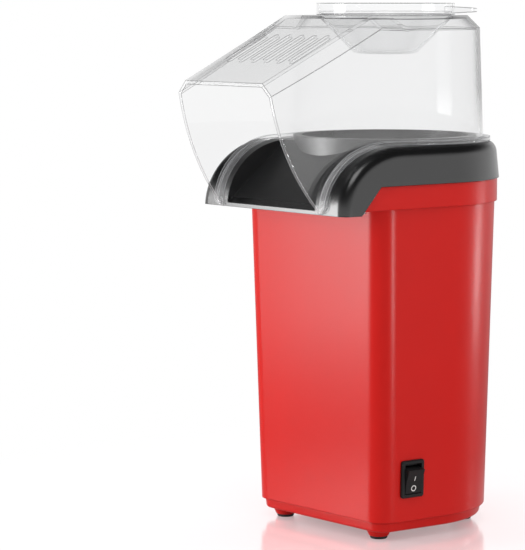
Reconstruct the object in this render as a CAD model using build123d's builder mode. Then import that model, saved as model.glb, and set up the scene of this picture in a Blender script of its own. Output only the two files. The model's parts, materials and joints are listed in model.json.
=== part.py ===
"""Hot-air popcorn maker, free-standing, in millimetres with +Z up and the front towards -Y.

The origin lies on the floor under the middle of the whole outline. The popping chamber
stands behind that point, so most sketches use AXIS, whose local origin is the chamber axis.
"""

import os
from math import acos, atan, atan2, cos, degrees, hypot, radians, sin, sqrt, tan

from build123d import *

os.makedirs("parts", exist_ok=True)

# Shared planes
AXIS_Y = 27.35
AXIS = Plane((0, AXIS_Y, 0))
SIDE = Plane(origin=(0, AXIS_Y, 0), x_dir=(0, 1, 0), z_dir=(1, 0, 0))

# Tower and its flange: rear radius, half width at the front, front edge, corner radius
WALL = 2.4
SEAM_Z = 10.8
SHELF_Z = 184.3
STEP_Z = 197.3
TOWER_FOOT = (58.1, 54.0, -52.0, 12.0)
TOWER_HEAD = (62.4, 58.0, -56.5, 12.0)
FLANGE_PLAN = (63.8, 58.0, -79.5, 11.0)
RIM_TOP_Z = 203.5

# Top collar
COLLAR_PLAN_LOW = (66.3, 59.4, -96.0, 4.0)
COLLAR_PLAN_HIGH = (62.6, 55.9, -96.0, 4.0)
COLLAR_TOP_Z = 218.0
COLLAR_WALL = 2.4
LIP_Z = 182.4
WING_Y = -42.0
WING_Z = 183.0
WING_A = 44.0
WING_B = COLLAR_TOP_Z - WING_Z
WING_ROUND = 6.5
SKIRT_BREAK = ((-59.5, STEP_Z), (-74.0, LIP_Z))
RING_R = 52.0
RING_TOP_Z = 221.0
RING_FOOT_Z = 206.5
BORE_R = 47.5
CHUTE_HALF = 36.5
RAMP_Y = -86.0
RAMP_Z = 184.5
RAMP_SLOPE = 0.78

# Clear hood
LID_GAP = 0.3
LID_WALL = 2.0
HOOD_FOOT_Z = 217.0
HOOD_REAR_R = 55.8
HOOD_REAR_LEAN = 0.0404
HOOD_NOSE_HALF = 37.63
HOOD_NOSE_LEAN = 0.0085
HOOD_NOSE_FLARE = 0.085
HOOD_NOSE_Y = (-135.0, -10.0)
LID_TOP_Z = 288.2
LID_BEND_Y = -44.6
LID_SLANT = 25.0
LID_NECK_R = 26.0
LID_FLANGE = 4.0
LID_FLANGE_T = 2.0
LID_FLANGE_ROUND = 5.2
LID_MOUTH = ((-86.3, 183.0), (-104.6, 207.8), (-118.7, 246.2), (-119.5, 253.4))
VENT_COUNT = 6
VENT_PITCH = 10.4
VENT_SIZE = (30.9, 3.0)
VENT_Y = -81.0
CUP_HOLE_R = 37.5
ROOF_R = 46.3
# Edges of the panel and of its chamfer, as y, (x, z) above, (x, z) below
ROOF_EDGES = (
    (-140.0, (31.8, 243.7), (37.4, 237.0)),
    (-44.6, (34.8, 288.2), (44.6, 281.9)),
    (-5.0, (36.1, 288.2), (47.0, 281.4)),
)

# Measuring cup
CUP_RIM_R = 39.0
CUP_TOP_Z = 295.0
CUP_FOOT_Z = 266.5
CUP_WALL = 1.6
CUP_FOOT_R = 14.5
TONGUE_ANGLE = 65.0
TONGUE_REACH = 54.5
TONGUE_W = 15.0
TONGUE_ROOT = (289.1, 293.0)
TONGUE_TIP = (290.6, 291.3)

# Base and feet
BASE_INSET = 2.0
BASE_Z = 5.0
BASE_WALL = 2.2
BASE_TOP_Z = SEAM_Z - 0.4
BASE_RIM_Z = 15.0
FEET = ((39.2, -40.2), (-39.2, -40.2), (32.0, 33.0), (-32.0, 33.0))
FOOT_R = (7.0, 5.4)
PAD_R = 4.8
PAD_H = 1.6
BOSS_R = 4.6
BOSS_Z = 12.6
DECK_Z = 52.0

# Fasteners
SCREW_R = 1.5
SCREW_FIT = 0.05
HEAD_R = 2.8
HEAD_H = 2.0

# Fan, motor and heater stack
DECK_T = 2.5
DUCT_R = 40.0
DUCT_TOP_Z = 92.0
SHROUD_R = 50.0
SHROUD_T = 1.0
SHROUD_TOP_Z = 204.0
CHAMBER_R = 44.6
CHAMBER_T = 1.0
CHAMBER_FOOT_Z = 132.0
CHAMBER_FLANGE_R = 51.0
FAN_R = 34.0
FAN_Z = 59.0
FAN_H = 16.0
BLADES = 12
SHAFT_R = 1.5
SHAFT_FIT = 0.04
MOTOR_R = 14.0
MOTOR_Z = 20.0
MICA_Z = 100.0
MICA_H = 22.0
MICA_T = 1.0
COIL_R = 1.6
COIL_Z = MICA_Z + MICA_H
COIL_START = 12.0
COIL_PITCH = 9.0
COIL_HALF_TURNS = 7
SLOTS = 18

# Rocker switch in the right-hand wall
SWITCH_Y = -31.2
SWITCH_Z = 34.7
BEZEL = (15.4, 21.0, 1.8)
SWITCH_BODY = (12.8, 19.0, 12.5)
KEY_OPENING = (11.4, 17.0)
KEY_W = 10.8
KEY_R = 6.4
KEY_SWEEP_R = 7.0
KEY_CORNER = (7.0, 5.1)
KEY_DIP = 4.4
KEY_PIN_R = 1.0
KEY_FIT = 0.05
KEY_TILT = 14.0
KEY_PIVOT = -1.5

# Supply inlet at the rear
GLAND_Z = 26.0
GLAND_HOLE_R = 5.0


def d_plan(z, rear_radius, half_width, front, corner):
    """Return the plan of the casing at height z: a round back narrowing to a flat front."""
    with BuildSketch(AXIS.offset(z)) as plan:
        Circle(rear_radius)
        with Locations((0, -rear_radius - 12)):
            Rectangle(2 * rear_radius, 2 * rear_radius, mode=Mode.SUBTRACT)
        with Locations((half_width - corner, front + corner), (corner - half_width, front + corner)):
            Circle(corner)
        make_hull()
    return plan.sketch


def inset(plan, amount):
    """Return plan sizes drawn in by a wall thickness."""
    rear_radius, half_width, front, corner = plan
    return rear_radius - amount, half_width - amount, front + amount, max(corner - amount, 0.6)


def wing_arc(grow):
    """Draw the quarter ellipse that the collar's wings follow, grown outwards by a gap."""
    EllipticalCenterArc((WING_Y, WING_Z), WING_A + grow, WING_B + grow, start_angle=90, arc_size=90)


def ramp_z(y, drop=0.0):
    """Return the height of the chute floor at y, or of a surface a given drop beneath it."""
    return RAMP_Z + RAMP_SLOPE * (y - RAMP_Y) - drop


RAMP_DROP = COLLAR_WALL * sqrt(1 + RAMP_SLOPE**2)


def above_ramp(drop, rear_y):
    """Return the side profile of all that lies above the chute floor, or above a drop beneath it."""
    with BuildSketch(SIDE) as profile:
        with BuildLine():
            Polyline((-110, ramp_z(-110, drop)), (rear_y, ramp_z(rear_y, drop)), (rear_y, 250), (-110, 250),
                     close=True)
        make_face()
    return profile.sketch


def tower_plan(z):
    """Return the tower's plan sizes at height z."""
    share = (z - SEAM_Z) / (SHELF_Z - SEAM_Z)
    return [low + share * (high - low) for low, high in zip(TOWER_FOOT, TOWER_HEAD)]


def collar_plan(z):
    """Return the collar's plan sizes at height z."""
    share = (z - LIP_Z) / (COLLAR_TOP_Z + 1 - LIP_Z)
    return [low + share * (high - low) for low, high in zip(COLLAR_PLAN_LOW, COLLAR_PLAN_HIGH)]


def drill(spots, low, high, radius):
    """Cut round holes at the given spots between two heights in the part being built."""
    with BuildSketch(AXIS.offset(low)) as holes:
        with Locations(*spots):
            Circle(radius)
    extrude(holes.sketch, amount=high - low, mode=Mode.SUBTRACT)


# The switch sits square to the right-hand wall, which turns a little forward and leans out
rear_r, half_w, front_y, corner_r = tower_plan(SWITCH_Z)
corner_spot = (half_w - corner_r, front_y + corner_r)
wall_turn = atan2(corner_spot[1], corner_spot[0]) + acos((rear_r - corner_r) / hypot(*corner_spot))
wall_lean = atan((TOWER_HEAD[0] - TOWER_FOOT[0]) / (SHELF_Z - SEAM_Z))
switch_x = (rear_r - sin(wall_turn) * SWITCH_Y) / cos(wall_turn)
SWITCH = Plane(
    origin=(switch_x, AXIS_Y + SWITCH_Y, SWITCH_Z),
    x_dir=(-sin(wall_turn), cos(wall_turn), 0),
    z_dir=(cos(wall_turn) * cos(wall_lean), sin(wall_turn) * cos(wall_lean), -sin(wall_lean)),
)
KEY_UP = SWITCH.y_dir * cos(radians(KEY_TILT)) + SWITCH.z_dir * sin(radians(KEY_TILT))
KEY = Plane(SWITCH.offset(KEY_PIVOT).origin, x_dir=KEY_UP, z_dir=SWITCH.x_dir)

# Body shell
ear_spots = ((40.4, 38.8), (-40.4, 38.8))
spout_spots = ((47.0, -62.0), (-47.0, -62.0))
with BuildPart() as body_shell:
    loft([d_plan(SEAM_Z, *TOWER_FOOT), d_plan(SHELF_Z, *TOWER_HEAD)], ruled=True)
    # Upstand inside the collar
    extrude(d_plan(SHELF_Z, *inset(FLANGE_PLAN, 2.6)), amount=RIM_TOP_Z - SHELF_Z)
    # No upstand towards the chute
    with BuildSketch(AXIS.offset(STEP_Z)):
        with Locations((0, -70)):
            Rectangle(160, 70)
    extrude(amount=20, mode=Mode.SUBTRACT)
    extrude(d_plan(SHELF_Z, *FLANGE_PLAN), amount=STEP_Z - SHELF_Z)
    extrude(d_plan(SHELF_Z + WALL, *inset(FLANGE_PLAN, 4.6)), amount=40, mode=Mode.SUBTRACT)
    loft([d_plan(SEAM_Z, *inset(TOWER_FOOT, WALL)), d_plan(SHELF_Z, *inset(TOWER_HEAD, WALL))],
         ruled=True, mode=Mode.SUBTRACT)
    extrude(d_plan(SHELF_Z, *inset(TOWER_HEAD, WALL)), amount=WALL, mode=Mode.SUBTRACT)
    # The flange gives way under the chute floor
    room = CHUTE_HALF + COLLAR_WALL + 0.3
    extrude(above_ramp(RAMP_DROP + 0.3, -40), amount=room, both=True, mode=Mode.SUBTRACT)
    # Ears for the rear collar screws
    with BuildSketch(AXIS.offset(187.5)):
        with Locations(*ear_spots):
            Circle(4.2)
    extrude(amount=4.5)
    # Bosses that take the base screws from below and the deck screws from above
    with BuildSketch(AXIS.offset(BOSS_Z)):
        with Locations(*FEET):
            Circle(BOSS_R)
    extrude(amount=DECK_Z - BOSS_Z)
    with BuildSketch(AXIS.offset(16)):
        with Locations((39.2, -45.6), (-39.2, -45.6)):
            Rectangle(2.2, 10.8)
        for sign in (1, -1):
            with Locations(Location((sign * 36.0, 37.1, 0), (0, 0, 45.9 * sign))):
                Rectangle(11.5, 2.2)
    extrude(amount=30)
    drill(FEET, BOSS_Z, 30, SCREW_R + SCREW_FIT)
    drill(FEET, 38, DECK_Z, SCREW_R + SCREW_FIT)
    drill(ear_spots, 187, 193, SCREW_R + SCREW_FIT)
    drill(spout_spots, SHELF_Z, SHELF_Z + WALL, SCREW_R + SCREW_FIT)
    # Switch cut-out and inlet hole
    with BuildSketch(SWITCH.offset(-6)):
        Rectangle(SWITCH_BODY[0] + 0.2, SWITCH_BODY[1] + 0.2)
    extrude(amount=12, mode=Mode.SUBTRACT)
    with BuildSketch(Plane(origin=(0, AXIS_Y + 50, GLAND_Z), x_dir=(1, 0, 0), z_dir=(0, 1, 0))):
        Circle(GLAND_HOLE_R)
    extrude(amount=14, mode=Mode.SUBTRACT)

body_shell.part.label = "body_shell"
export_step(body_shell.part, "parts/body_shell.step")

# Top collar: the outer form first, then its cavity, ring and chute
with BuildPart() as collar_form:
    loft([d_plan(LIP_Z, *COLLAR_PLAN_LOW), d_plan(COLLAR_TOP_Z + 1, *COLLAR_PLAN_HIGH)], ruled=True)
    with BuildSketch(SIDE):
        with BuildLine():
            wing_arc(0)
            Polyline((WING_Y - WING_A, WING_Z), (WING_Y - WING_A, LIP_Z), SKIRT_BREAK[1], SKIRT_BREAK[0],
                     (80, STEP_Z), (80, COLLAR_TOP_Z), (WING_Y, COLLAR_TOP_Z))
        make_face()
    extrude(amount=90, both=True, mode=Mode.INTERSECT)
    shoulder = collar_form.edges().filter_by(
        lambda e: (e.center().Z > COLLAR_TOP_Z - 0.1 and e.center().Y > AXIS_Y + WING_Y + 1)
        or (abs(e.center().X) > 45 and e.center().Y < AXIS_Y - 50 and e.center().Z > STEP_Z + 1)
    )
    fillet(shoulder, WING_ROUND)

with BuildPart() as chute:
    extrude(above_ramp(0, -30), amount=CHUTE_HALF, both=True)
    with BuildSketch(AXIS.offset(150)):
        Circle(RING_R)
    extrude(amount=120, mode=Mode.SUBTRACT)

front_wall = WING_Y - WING_A + COLLAR_WALL
ceiling = COLLAR_TOP_Z - COLLAR_WALL
with BuildPart() as collar_cavity:
    loft([d_plan(LIP_Z - 4, *inset(collar_plan(LIP_Z - 4), COLLAR_WALL)),
          d_plan(RIM_TOP_Z + 2, *inset(collar_plan(RIM_TOP_Z + 2), COLLAR_WALL)),
          d_plan(COLLAR_TOP_Z + 1, *inset(collar_plan(COLLAR_TOP_Z + 1), WING_ROUND))], ruled=True)
    with BuildSketch(SIDE):
        with BuildLine():
            wing_arc(-COLLAR_WALL)
            Polyline((front_wall, WING_Z), (front_wall, LIP_Z - 2), (80, LIP_Z - 2), (80, ceiling),
                     (WING_Y, ceiling))
        make_face()
    extrude(amount=90, both=True, mode=Mode.INTERSECT)
    # Material kept round the chute, the guard ring and the screw posts
    extrude(above_ramp(RAMP_DROP, -30), amount=CHUTE_HALF + COLLAR_WALL, both=True, mode=Mode.SUBTRACT)
    with BuildSketch(AXIS.offset(RING_FOOT_Z)):
        Circle(RING_R)
    extrude(amount=20, mode=Mode.SUBTRACT)
    with BuildSketch(AXIS.offset(SHELF_Z + WALL)):
        with Locations(*spout_spots):
            Circle(3.4)
    extrude(amount=40, mode=Mode.SUBTRACT)
    with BuildSketch(AXIS.offset(192)):
        with Locations(*ear_spots):
            Circle(3.0)
    extrude(amount=40, mode=Mode.SUBTRACT)

# Room for the tower's flange inside the spout
with BuildPart() as flange_room:
    extrude(d_plan(SHELF_Z - 4, *inset(FLANGE_PLAN, -0.1)), amount=STEP_Z - SHELF_Z + 4)
    extrude(d_plan(SHELF_Z + WALL, *inset(FLANGE_PLAN, 4.7)), amount=40, mode=Mode.SUBTRACT)
    extrude(above_ramp(RAMP_DROP, -30), amount=CHUTE_HALF + COLLAR_WALL, both=True, mode=Mode.SUBTRACT)

with BuildPart() as top_collar:
    add(collar_form.part)
    add(collar_cavity.part, mode=Mode.SUBTRACT)
    with BuildSketch(AXIS.offset(RING_FOOT_Z)):
        Circle(RING_R)
    extrude(amount=RING_TOP_Z - RING_FOOT_Z)
    add(chute.part, mode=Mode.SUBTRACT)
    with BuildSketch(AXIS.offset(RING_FOOT_Z - 20)):
        Circle(BORE_R)
    extrude(amount=60, mode=Mode.SUBTRACT)
    add(flange_room.part, mode=Mode.SUBTRACT)
    drill(spout_spots, SHELF_Z, 202, SCREW_R + SCREW_FIT)
    drill(ear_spots, 190, 205, SCREW_R + SCREW_FIT)

top_collar.part.label = "top_collar"
export_step(top_collar.part, "parts/top_collar.step")


def hood_plan(z, grow):
    """Return the hood's plan at height z, grown outwards by a gap: a round back with a long nose."""
    front_y, rear_y = HOOD_NOSE_Y
    rear_radius = HOOD_REAR_R - HOOD_REAR_LEAN * (z - HOOD_FOOT_Z) + grow
    front_half = HOOD_NOSE_HALF - HOOD_NOSE_LEAN * (z - HOOD_FOOT_Z) + grow
    rear_half = front_half + HOOD_NOSE_FLARE * (rear_y - front_y)
    with BuildSketch(AXIS.offset(z)) as plan:
        Circle(rear_radius)
        with BuildLine():
            Polyline((-front_half, front_y), (front_half, front_y), (rear_half, rear_y),
                     (-rear_half, rear_y), close=True)
        make_face()
        fillet(plan.vertices().sort_by(Axis.Y)[2:4], LID_NECK_R - grow)
    return plan.sketch


def hood_block(grow):
    """Return the solid hood grown by a gap, with its slanted panel and chamfered roof edges."""
    slope = tan(radians(LID_SLANT))
    roof = LID_TOP_Z + grow
    bend = LID_BEND_Y - grow * tan(radians(LID_SLANT / 2))
    with BuildPart() as chamfers:
        # Round back: a cone at 45 degrees
        apex_z = LID_TOP_Z + ROOF_R + grow * sqrt(2)
        with BuildSketch(SIDE):
            with BuildLine():
                Polyline((0, 160), (75, 160), (75, apex_z - 75), (0, apex_z), close=True)
            make_face()
        revolve(axis=Axis((0, AXIS_Y, 0), (0, 0, 1)))
        # Nose: a ridge whose flanks pass through the measured edges of the panel
        for y, (top_x, top_z), (low_x, low_z) in ROOF_EDGES:
            fall = (top_z - low_z) / (low_x - top_x)
            ridge_z = top_z + fall * top_x + grow * sqrt(1 + fall**2)
            with BuildSketch(Plane(origin=(0, AXIS_Y + y, 0), x_dir=(1, 0, 0), z_dir=(0, -1, 0))):
                with BuildLine():
                    Polyline((-60, 160), (60, 160), (60, ridge_z - fall * 60), (0, ridge_z),
                             (-60, ridge_z - fall * 60), close=True)
                make_face()
        loft(ruled=True)
    with BuildPart() as block:
        loft([hood_plan(175, grow), hood_plan(300, grow)], ruled=True)
        with BuildSketch(SIDE.offset(-90)):
            with BuildLine():
                Polyline((-150, roof - slope * (bend + 150)), (bend, roof), (90, roof), (90, 310),
                         (-150, 310), close=True)
            make_face()
        extrude(amount=180, mode=Mode.SUBTRACT)
        add(chamfers.part, mode=Mode.INTERSECT)
    return block.part


# Clear hood: the flange that lies along the collar, then the hood itself
slant_rise = tan(radians(LID_SLANT))
flange_low = COLLAR_TOP_Z + LID_GAP
flange_high = flange_low + LID_FLANGE_T
with BuildPart() as lid_flange:
    loft([hood_plan(175, LID_FLANGE), hood_plan(300, LID_FLANGE)], ruled=True)
    with BuildSketch(SIDE.offset(-90)):
        with BuildLine():
            wing_arc(LID_GAP)
            Line((WING_Y - WING_A - LID_GAP, WING_Z), (WING_Y - WING_A - LID_GAP - LID_FLANGE_T, WING_Z))
            wing_arc(LID_GAP + LID_FLANGE_T)
            Polyline((WING_Y, flange_high), (90, flange_high), (90, flange_low), (WING_Y, flange_low))
        make_face()
    extrude(amount=180, mode=Mode.INTERSECT)
    # Its front ends are rounded off towards the mouth
    flange_ends = lid_flange.edges().filter_by(
        lambda e: abs(e.center().Z - WING_Z) < 0.1 and abs(e.center().X) > 40
    )
    fillet(flange_ends, LID_FLANGE_ROUND)

with BuildPart() as lid:
    add(hood_block(0))
    with BuildSketch(SIDE.offset(-90)):
        with BuildLine():
            ThreePointArc(LID_MOUTH[0], LID_MOUTH[1], LID_MOUTH[2])
            Polyline(LID_MOUTH[2], LID_MOUTH[3], (LID_MOUTH[3][0], 300), (90, 300), (90, flange_low),
                     (WING_Y, flange_low))
            wing_arc(LID_GAP)
        make_face()
    extrude(amount=180, mode=Mode.INTERSECT)
    add(lid_flange.part)
    add(hood_block(-LID_WALL), mode=Mode.SUBTRACT)
    # Hole for the measuring cup
    drill([(0, 0)], LID_TOP_Z - 10, LID_TOP_Z + 10, CUP_HOLE_R)
    # Steam slots in the slanted panel
    panel_z = LID_TOP_Z + slant_rise * (VENT_Y - LID_BEND_Y)
    panel = Plane(
        origin=(0, AXIS_Y + VENT_Y, panel_z),
        x_dir=(1, 0, 0),
        z_dir=(0, -sin(radians(LID_SLANT)), cos(radians(LID_SLANT))),
    )
    with BuildSketch(panel.offset(-5)):
        with GridLocations(VENT_PITCH, 1, VENT_COUNT, 1):
            SlotOverall(VENT_SIZE[0], VENT_SIZE[1], rotation=90)
    extrude(amount=10, mode=Mode.SUBTRACT)

lid.part.label = "lid"
export_step(lid.part, "parts/lid.step")

# Measuring cup: a turned bowl with a lens-shaped tongue to lift it by
inner_r = CUP_RIM_R - CUP_WALL
seat_r = CUP_HOLE_R - 0.5
seat_z = LID_TOP_Z + LID_GAP
foot = CUP_FOOT_Z
with BuildPart() as tongue:
    tongue_root = CUP_RIM_R - 0.8
    tongue_mid = (tongue_root + TONGUE_REACH) / 2
    tongue_dir = (cos(radians(TONGUE_ANGLE)), sin(radians(TONGUE_ANGLE)), 0)
    with BuildSketch(AXIS.offset(LID_TOP_Z)):
        with Locations((41 * tongue_dir[0], 41 * tongue_dir[1])):
            SlotOverall(2 * (TONGUE_REACH - 41), TONGUE_W, rotation=TONGUE_ANGLE)
        Circle(tongue_root, mode=Mode.SUBTRACT)
    extrude(amount=10)
    radial = Plane(origin=(0, AXIS_Y, 0), x_dir=tongue_dir, z_dir=(tongue_dir[1], -tongue_dir[0], 0))
    with BuildSketch(radial.offset(-TONGUE_W)):
        with BuildLine():
            ThreePointArc((30, TONGUE_ROOT[0]), (tongue_mid, TONGUE_ROOT[0] + 0.4), (60, TONGUE_TIP[0]))
            Line((60, TONGUE_TIP[0]), (60, TONGUE_TIP[1]))
            ThreePointArc((60, TONGUE_TIP[1]), (tongue_mid, TONGUE_ROOT[1] - 0.4), (30, TONGUE_ROOT[1]))
            Line((30, TONGUE_ROOT[1]), (30, TONGUE_ROOT[0]))
        make_face()
    extrude(amount=2 * TONGUE_W, mode=Mode.INTERSECT)

with BuildPart() as measuring_cup:
    with BuildSketch(SIDE):
        with BuildLine():
            Polyline((CUP_FOOT_R, foot), (0, foot), (0, foot + CUP_WALL), (14.0, foot + CUP_WALL))
            ThreePointArc((14.0, foot + CUP_WALL), (17.2, foot + 2.4), (19.6, foot + 4.6))
            Polyline((19.6, foot + 4.6), (36.2, foot + 21.2), (inner_r, seat_z + 1.9), (inner_r, CUP_TOP_Z),
                     (CUP_RIM_R, CUP_TOP_Z), (CUP_RIM_R, seat_z), (seat_r, seat_z), (seat_r, foot + 19.8),
                     (20.7, foot + 3.5))
            ThreePointArc((20.7, foot + 3.5), (17.9, foot + 0.9), (CUP_FOOT_R, foot))
        make_face()
    revolve(axis=Axis((0, AXIS_Y, 0), (0, 0, 1)))
    add(tongue.part)

measuring_cup.part.label = "measuring_cup"
export_step(measuring_cup.part, "parts/measuring_cup.step")

# Base cover with foot pillars, air slots and posts for the rectifier board
board_posts = ((-35.0, 12.0), (-35.0, -12.0))
with BuildPart() as base_cover:
    base_low = d_plan(BASE_Z, *inset(TOWER_FOOT, BASE_INSET + 0.8))
    base_high = d_plan(BASE_TOP_Z, *inset(TOWER_FOOT, BASE_INSET))
    loft([base_low, base_high], ruled=True)
    fillet(base_cover.edges().group_by(Axis.Z)[0], 1.6)
    # Spigot inside the tower
    extrude(d_plan(BASE_TOP_Z, *inset(TOWER_FOOT, WALL + 0.4)), amount=BASE_RIM_Z - BASE_TOP_Z)
    tray_plan = inset(TOWER_FOOT, WALL + 0.4 + BASE_WALL)
    extrude(d_plan(BASE_Z + BASE_WALL, *tray_plan), amount=20, mode=Mode.SUBTRACT)
    with BuildSketch(AXIS.offset(BASE_Z)):
        with GridLocations(1, 7.5, 1, 7):
            SlotOverall(44, 3.2)
    extrude(amount=BASE_WALL, mode=Mode.SUBTRACT)
    with BuildSketch(AXIS.offset(BASE_Z)):
        with Locations(*FEET):
            Circle(BOSS_R)
    extrude(amount=BOSS_Z - BASE_Z)
    with BuildSketch(AXIS.offset(BASE_Z)):
        with Locations(*FEET):
            Circle(FOOT_R[0])
    extrude(amount=PAD_H - BASE_Z, taper=degrees(atan((FOOT_R[0] - FOOT_R[1]) / (BASE_Z - PAD_H))))
    drill(FEET, PAD_H, 6.4, HEAD_R + 0.3)
    drill(FEET, 6.4, BOSS_Z, SCREW_R + 0.15)
    with BuildSketch(AXIS.offset(BASE_Z)):
        with Locations(*board_posts):
            Circle(3.0)
    extrude(amount=12 - BASE_Z)
    with BuildSketch(AXIS.offset(12)):
        with Locations(*board_posts):
            Circle(1.2)
    extrude(amount=2.4)

base_cover.part.label = "base_cover"
export_step(base_cover.part, "parts/base_cover.step")

with BuildPart() as foot_pads:
    with BuildSketch(AXIS):
        with Locations(*FEET):
            Circle(PAD_R)
    extrude(amount=PAD_H)
    chamfer(foot_pads.edges().group_by(Axis.Z)[0], 0.5)
    with BuildSketch(AXIS.offset(PAD_H)):
        with Locations(*FEET):
            Circle(HEAD_R)
    extrude(amount=2.2)

foot_pads.part.label = "foot_pads"
export_step(foot_pads.part, "parts/foot_pads.step")


def screw_set(spots, seat_z, length, head_side):
    """Return pan-head screws at the given spots, headed above (1) or below (-1) their seat."""
    with BuildPart() as screws:
        with BuildSketch(AXIS.offset(seat_z)):
            with Locations(*spots):
                Circle(HEAD_R)
        extrude(amount=head_side * HEAD_H)
        with BuildSketch(AXIS.offset(seat_z)):
            with Locations(*spots):
                Circle(SCREW_R)
        extrude(amount=-head_side * length)
        # Cross recess
        with BuildSketch(AXIS.offset(seat_z + head_side * HEAD_H)):
            with Locations(*spots):
                Rectangle(3.2, 0.8)
                Rectangle(0.8, 3.2)
        extrude(amount=-head_side * 1.0, mode=Mode.SUBTRACT)
    return screws.part


base_screws = screw_set(FEET, 6.4, 18, -1)
base_screws.label = "base_screws"
export_step(base_screws, "parts/base_screws.step")

deck_screws = screw_set(FEET, DECK_Z + DECK_T, 12, 1)
deck_screws.label = "deck_screws"
export_step(deck_screws, "parts/deck_screws.step")

collar_screws = screw_set(spout_spots, SHELF_Z, 15, -1) + screw_set(ear_spots, 187.5, 14, -1)
collar_screws.label = "collar_screws"
export_step(collar_screws, "parts/collar_screws.step")

# Fan housing: deck, spoked air inlet and the duct up to the heater
motor_spots = ((9.0, 0.0), (-9.0, 0.0))
deck_plan = inset(tower_plan(DECK_Z), WALL + 1.2)
with BuildPart() as fan_housing:
    extrude(d_plan(DECK_Z, *deck_plan), amount=DECK_T)
    with BuildSketch(AXIS.offset(DECK_Z)):
        Circle(30)
        Circle(17, mode=Mode.SUBTRACT)
        with PolarLocations(23, 4, start_angle=45):
            Rectangle(16, 4, mode=Mode.SUBTRACT)
    extrude(amount=DECK_T, mode=Mode.SUBTRACT)
    with BuildSketch(AXIS.offset(DECK_Z + DECK_T)):
        Circle(DUCT_R + 2.0)
        Circle(DUCT_R, mode=Mode.SUBTRACT)
    extrude(amount=DUCT_TOP_Z - DECK_Z - DECK_T)
    with BuildSketch(AXIS.offset(DUCT_TOP_Z - 2.5)):
        Circle(SHROUD_R + SHROUD_T + 0.4)
        Circle(DUCT_R, mode=Mode.SUBTRACT)
    extrude(amount=2.5)
    with BuildSketch(AXIS.offset(DUCT_TOP_Z)):
        Circle(SHROUD_R - 0.1)
        Circle(SHROUD_R - 1.8, mode=Mode.SUBTRACT)
    extrude(amount=3)
    drill([(0, 0)], DECK_Z, DECK_Z + DECK_T, 5.3)
    drill(motor_spots, DECK_Z, DECK_Z + DECK_T, SCREW_R + SCREW_FIT)
    drill(FEET, DECK_Z, DECK_Z + DECK_T, SCREW_R + SCREW_FIT)
    drill([(0, 49)], DECK_Z, DECK_Z + DECK_T, 4.0)

fan_housing.part.label = "fan_housing"
export_step(fan_housing.part, "parts/fan_housing.step")

# Motor
with BuildPart() as motor_can:
    with BuildSketch(AXIS.offset(MOTOR_Z)):
        Circle(MOTOR_R)
    extrude(amount=DECK_Z - MOTOR_Z)
    chamfer(motor_can.edges().group_by(Axis.Z)[-1], 0.8)
    with BuildSketch(AXIS.offset(DECK_Z)):
        Circle(5.0)
    extrude(amount=1.6)
    drill([(0, 0)], MOTOR_Z, DECK_Z + 2, SHAFT_R + SHAFT_FIT)
    drill(motor_spots, 42, DECK_Z, SCREW_R + SCREW_FIT)

motor_can.part.label = "motor_can"
export_step(motor_can.part, "parts/motor_can.step")

with BuildPart() as motor_end_cap:
    with BuildSketch(AXIS.offset(MOTOR_Z - 3)):
        Circle(MOTOR_R - 0.6)
    extrude(amount=3)
    with BuildSketch(AXIS.offset(MOTOR_Z - 6)):
        with Locations((8, 0), (-8, 0)):
            Rectangle(0.8, 3)
        Circle(4)
    extrude(amount=3)
    drill([(0, 0)], MOTOR_Z - 7, MOTOR_Z, SHAFT_R + SHAFT_FIT)

motor_end_cap.part.label = "motor_end_cap"
export_step(motor_end_cap.part, "parts/motor_end_cap.step")

motor_screws = screw_set(motor_spots, DECK_Z + DECK_T, 9, 1)
motor_screws.label = "motor_screws"
export_step(motor_screws, "parts/motor_screws.step")

# Turning parts
with BuildPart() as motor_shaft:
    with BuildSketch(AXIS.offset(MOTOR_Z - 7)):
        Circle(SHAFT_R)
    extrude(amount=FAN_Z + FAN_H + 9 - MOTOR_Z + 7)

motor_shaft.part.label = "motor_shaft"
export_step(motor_shaft.part, "parts/motor_shaft.step")

with BuildPart() as fan_wheel:
    with BuildSketch(AXIS.offset(FAN_Z + FAN_H - 1.5)):
        Circle(FAN_R)
    extrude(amount=1.5)
    with BuildSketch(AXIS.offset(FAN_Z)):
        with PolarLocations(24, BLADES):
            Rectangle(21, 1.4, rotation=28)
    extrude(amount=FAN_H - 1.5)
    with BuildSketch(AXIS.offset(FAN_Z + 1)):
        Circle(6)
    extrude(amount=FAN_H + 2)
    drill([(0, 0)], FAN_Z, FAN_Z + FAN_H + 4, SHAFT_R)

fan_wheel.part.label = "fan_wheel"
export_step(fan_wheel.part, "parts/fan_wheel.step")

with BuildPart() as fan_nut:
    with BuildSketch(AXIS.offset(FAN_Z + FAN_H + 3)):
        RegularPolygon(3.6, 6)
        Circle(SHAFT_R, mode=Mode.SUBTRACT)
    extrude(amount=3)

fan_nut.part.label = "fan_nut"
export_step(fan_nut.part, "parts/fan_nut.step")

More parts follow.
